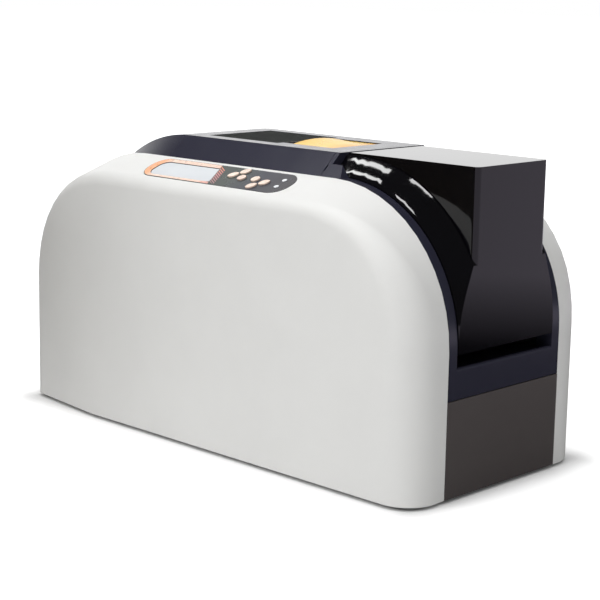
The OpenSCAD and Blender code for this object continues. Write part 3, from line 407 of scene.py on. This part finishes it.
def facing(tree, way, low, high, near, far):
    """Number that goes from one value to another as a direction turns towards a given way."""
    where = tree.nodes.new("ShaderNodeTexCoord")
    turn = tree.nodes.new("ShaderNodeVectorMath")
    turn.operation = "DOT_PRODUCT"
    turn.inputs[1].default_value = Vector(way).normalized()
    spans = tree.nodes.new("ShaderNodeMapRange")
    spans.interpolation_type = "SMOOTHSTEP"
    spans.inputs["From Min"].default_value = low
    spans.inputs["From Max"].default_value = high
    spans.inputs["To Min"].default_value = near
    spans.inputs["To Max"].default_value = far
    tree.links.new(where.outputs["Generated"], turn.inputs[0])
    tree.links.new(turn.outputs["Value"], spans.inputs["Value"])
    return spans.outputs["Result"]


# Surroundings: even light, white for the camera, and a studio with a bright far wall for reflections
AMBIENT = 0.22
world = bpy.data.worlds.new("studio")
bpy.context.scene.world = world
world.use_nodes = True
tree = world.node_tree
tree.nodes.clear()
ambient = tree.nodes.new("ShaderNodeBackground")
ambient.inputs["Color"].default_value = (1, 1, 1, 1)
ambient.inputs["Strength"].default_value = AMBIENT
backdrop = tree.nodes.new("ShaderNodeBackground")
backdrop.inputs["Color"].default_value = (1, 1, 1, 1)
backdrop.inputs["Strength"].default_value = 1
mirrored = tree.nodes.new("ShaderNodeBackground")
mirrored.inputs["Color"].default_value = (1, 1, 1, 1)
FAR_WALL = (0.70, 0.68, 0.12)
WALL_SPAN = (0.55, 0.97)
MIRRORED_DIM = 0.06
MIRRORED_BRIGHT = 1.25
wall = facing(tree, FAR_WALL, *WALL_SPAN, MIRRORED_DIM, MIRRORED_BRIGHT)
tree.links.new(wall, mirrored.inputs["Strength"])
choose = tree.nodes.new("ShaderNodeMixShader")
choose_gloss = tree.nodes.new("ShaderNodeMixShader")
sky = tree.nodes.new("ShaderNodeOutputWorld")
tree.links.new(ray_is(tree, "Is Camera Ray", "Is Transmission Ray"), choose.inputs[0])
tree.links.new(ray_is(tree, "Is Glossy Ray"), choose_gloss.inputs[0])
tree.links.new(ambient.outputs[0], choose_gloss.inputs[1])
tree.links.new(mirrored.outputs[0], choose_gloss.inputs[2])
tree.links.new(choose_gloss.outputs[0], choose.inputs[1])
tree.links.new(backdrop.outputs[0], choose.inputs[2])
tree.links.new(choose.outputs[0], sky.inputs["Surface"])


def stage_sheet(name, corners):
    """Single sheet with an empty material, for the floor and the cards."""
    mesh = bpy.data.meshes.new(name)
    mesh.from_pydata(corners, [], [(0, 1, 2, 3)])
    made = bpy.data.objects.new(name, mesh)
    bpy.context.collection.objects.link(made)
    mat = bpy.data.materials.new(name)
    mat.use_nodes = True
    mat.node_tree.nodes.clear()
    mesh.materials.append(mat)
    return made, mat.node_tree


# Floor: a matt sheet that keeps the shadow and glows white away from the object; the glow is nothing at the
# object's footprint and grows over SHADOW_REACH, which paints a shadow round the object
FLOOR_HALF = 14
FLOOR_DROP = 0.0002
FOOTPRINT = (0.092, 0.208, 0)
SHADOW_REACH = 0.035
NEAR_GLOW = 0.55
FAR_GLOW = 0.6
FAR_GLOW_SPAN = (0.1, 1.2)
SHEEN_COLOUR = (0.92, 0.84, 1, 1)
SHEEN_SPAN = (0.4, 0.8)
SHEEN_NEAR = 0.03
SHEEN_FAR = 0.70
floor, tree = stage_sheet("floor", [(-FLOOR_HALF, -FLOOR_HALF, 0), (FLOOR_HALF, -FLOOR_HALF, 0),
                                    (FLOOR_HALF, FLOOR_HALF, 0), (-FLOOR_HALF, FLOOR_HALF, 0)])
floor.location.z = -FLOOR_DROP
matt = tree.nodes.new("ShaderNodeBsdfDiffuse")
matt.inputs["Color"].default_value = (0.86, 0.86, 0.86, 1)
where = tree.nodes.new("ShaderNodeTexCoord")
fold = tree.nodes.new("ShaderNodeVectorMath")
fold.operation = "ABSOLUTE"
past = tree.nodes.new("ShaderNodeVectorMath")
past.operation = "SUBTRACT"
past.inputs[1].default_value = FOOTPRINT
outside = tree.nodes.new("ShaderNodeVectorMath")
outside.operation = "MAXIMUM"
outside.inputs[1].default_value = (0, 0, 0)
away = tree.nodes.new("ShaderNodeVectorMath")
away.operation = "LENGTH"
# Painted shadow: the glow runs from nothing at the footprint to NEAR_GLOW at SHADOW_REACH from it
painted_shadow_glow = tree.nodes.new("ShaderNodeMapRange")
painted_shadow_glow.interpolation_type = "SMOOTHSTEP"
painted_shadow_glow.inputs["From Max"].default_value = SHADOW_REACH
painted_shadow_glow.inputs["To Max"].default_value = NEAR_GLOW
far_glow = tree.nodes.new("ShaderNodeMapRange")
far_glow.inputs["From Min"].default_value = FAR_GLOW_SPAN[0]
far_glow.inputs["From Max"].default_value = FAR_GLOW_SPAN[1]
far_glow.inputs["To Max"].default_value = FAR_GLOW
sum_glow = tree.nodes.new("ShaderNodeMath")
tree.links.new(where.outputs["Object"], fold.inputs[0])
tree.links.new(fold.outputs["Vector"], past.inputs[0])
tree.links.new(past.outputs["Vector"], outside.inputs[0])
tree.links.new(outside.outputs["Vector"], away.inputs[0])
tree.links.new(away.outputs["Value"], painted_shadow_glow.inputs["Value"])
tree.links.new(away.outputs["Value"], far_glow.inputs["Value"])
tree.links.new(painted_shadow_glow.outputs["Result"], sum_glow.inputs[0])
tree.links.new(far_glow.outputs["Result"], sum_glow.inputs[1])
glow = tree.nodes.new("ShaderNodeEmission")
tree.links.new(sum_glow.outputs["Value"], glow.inputs["Strength"])
both = tree.nodes.new("ShaderNodeAddShader")
only = tree.nodes.new("ShaderNodeMixShader")
out = tree.nodes.new("ShaderNodeOutputMaterial")
tree.links.new(matt.outputs[0], both.inputs[0])
tree.links.new(glow.outputs[0], both.inputs[1])
tree.links.new(ray_is(tree, "Is Camera Ray", "Is Transmission Ray"), only.inputs[0])
tree.links.new(both.outputs[0], only.inputs[2])
# Reflections see the floor darker near the object and lighter further off
sheen = tree.nodes.new("ShaderNodeEmission")
sheen.inputs["Color"].default_value = SHEEN_COLOUR
fade = tree.nodes.new("ShaderNodeMapRange")
fade.inputs["From Min"].default_value = SHEEN_SPAN[0]
fade.inputs["From Max"].default_value = SHEEN_SPAN[1]
fade.inputs["To Min"].default_value = SHEEN_NEAR
fade.inputs["To Max"].default_value = SHEEN_FAR
tree.links.new(away.outputs["Value"], fade.inputs["Value"])
tree.links.new(fade.outputs["Result"], sheen.inputs["Strength"])
choose = tree.nodes.new("ShaderNodeMixShader")
tree.links.new(ray_is(tree, "Is Glossy Ray"), choose.inputs[0])
tree.links.new(matt.outputs[0], choose.inputs[1])
tree.links.new(sheen.outputs[0], choose.inputs[2])
tree.links.new(choose.outputs[0], only.inputs[1])
tree.links.new(only.outputs[0], out.inputs["Surface"])


def dark_card(name, first, second, height, scattered):
    """Upright dark card between two places on the floor, unseen by the camera."""
    corners = [(*first, 0), (*second, 0), (*second, height), (*first, height)]
    made, tree = stage_sheet(name, corners)
    brown = tree.nodes.new("ShaderNodeBsdfDiffuse")
    brown.inputs["Color"].default_value = (0.10, 0.085, 0.06, 1)
    out = tree.nodes.new("ShaderNodeOutputMaterial")
    tree.links.new(brown.outputs[0], out.inputs["Surface"])
    made.visible_camera = False
    made.visible_shadow = False
    made.visible_transmission = False
    made.visible_diffuse = scattered


# One card shades the rear corner, the other is what the hood's left face mirrors
dark_card("corner_card", (-0.33, 0.12), (-0.14, 0.33), 0.28, True)
dark_card("mirror_card", (-0.85, -0.20), (-0.10, 0.65), 0.75, False)


def softbox(name, place, look_at, wide, high, watts):
    data = bpy.data.lights.new(name, "AREA")
    data.shape = "RECTANGLE"
    data.size = wide
    data.size_y = high
    data.energy = watts
    lamp = bpy.data.objects.new(name, data)
    lamp.location = place
    way = Vector(look_at) - Vector(place)
    lamp.rotation_mode = "QUATERNION"
    lamp.rotation_quaternion = way.to_track_quat("-Z", "Y")
    bpy.context.collection.objects.link(lamp)
    return lamp


OVERHEAD = 21
BEHIND = 2
LEFT = 13.5
FRONT = 9
lamps = [softbox("overhead", (-0.2, 0.1, 1.9), (0, 0, 0.1), 1.5, 1.5, OVERHEAD),
         softbox("behind", (-0.6, 1.6, 1.5), (0, 0, 0.1), 1.2, 1.2, BEHIND),
         softbox("left", (-1.9, 0.2, 0.9), (0, 0, 0.15), 1.2, 1.0, LEFT),
         softbox("front", (-0.5, -1.3, 1.9), (0, 0, 0.1), 1.2, 1.2, FRONT)]
for lamp in lamps:
    lamp.visible_glossy = False


def glint_card(name, corners, strength):
    """Bright card that only reflections see: it makes one streak on the hood's shoulder."""
    made, tree = stage_sheet(name, corners)
    white = tree.nodes.new("ShaderNodeEmission")
    white.inputs["Strength"].default_value = strength
    out = tree.nodes.new("ShaderNodeOutputMaterial")
    tree.links.new(white.outputs[0], out.inputs["Surface"])
    made.visible_camera = False
    made.visible_shadow = False
    made.visible_transmission = False
    made.visible_diffuse = False


GLINT = 14
glint_card("far_glint",
           [(-0.27, 0.70, 1.10), (-0.22, 0.70, 1.11), (-0.44, 0.30, 1.28), (-0.50, 0.30, 1.26)], GLINT)
glint_card("near_glint",
           [(-0.60, 0.07, 1.25), (-0.68, 0.05, 1.20), (-0.79, -0.24, 1.14), (-0.73, -0.22, 1.19)], GLINT)

bpy.context.scene.view_settings.view_transform = "Standard"
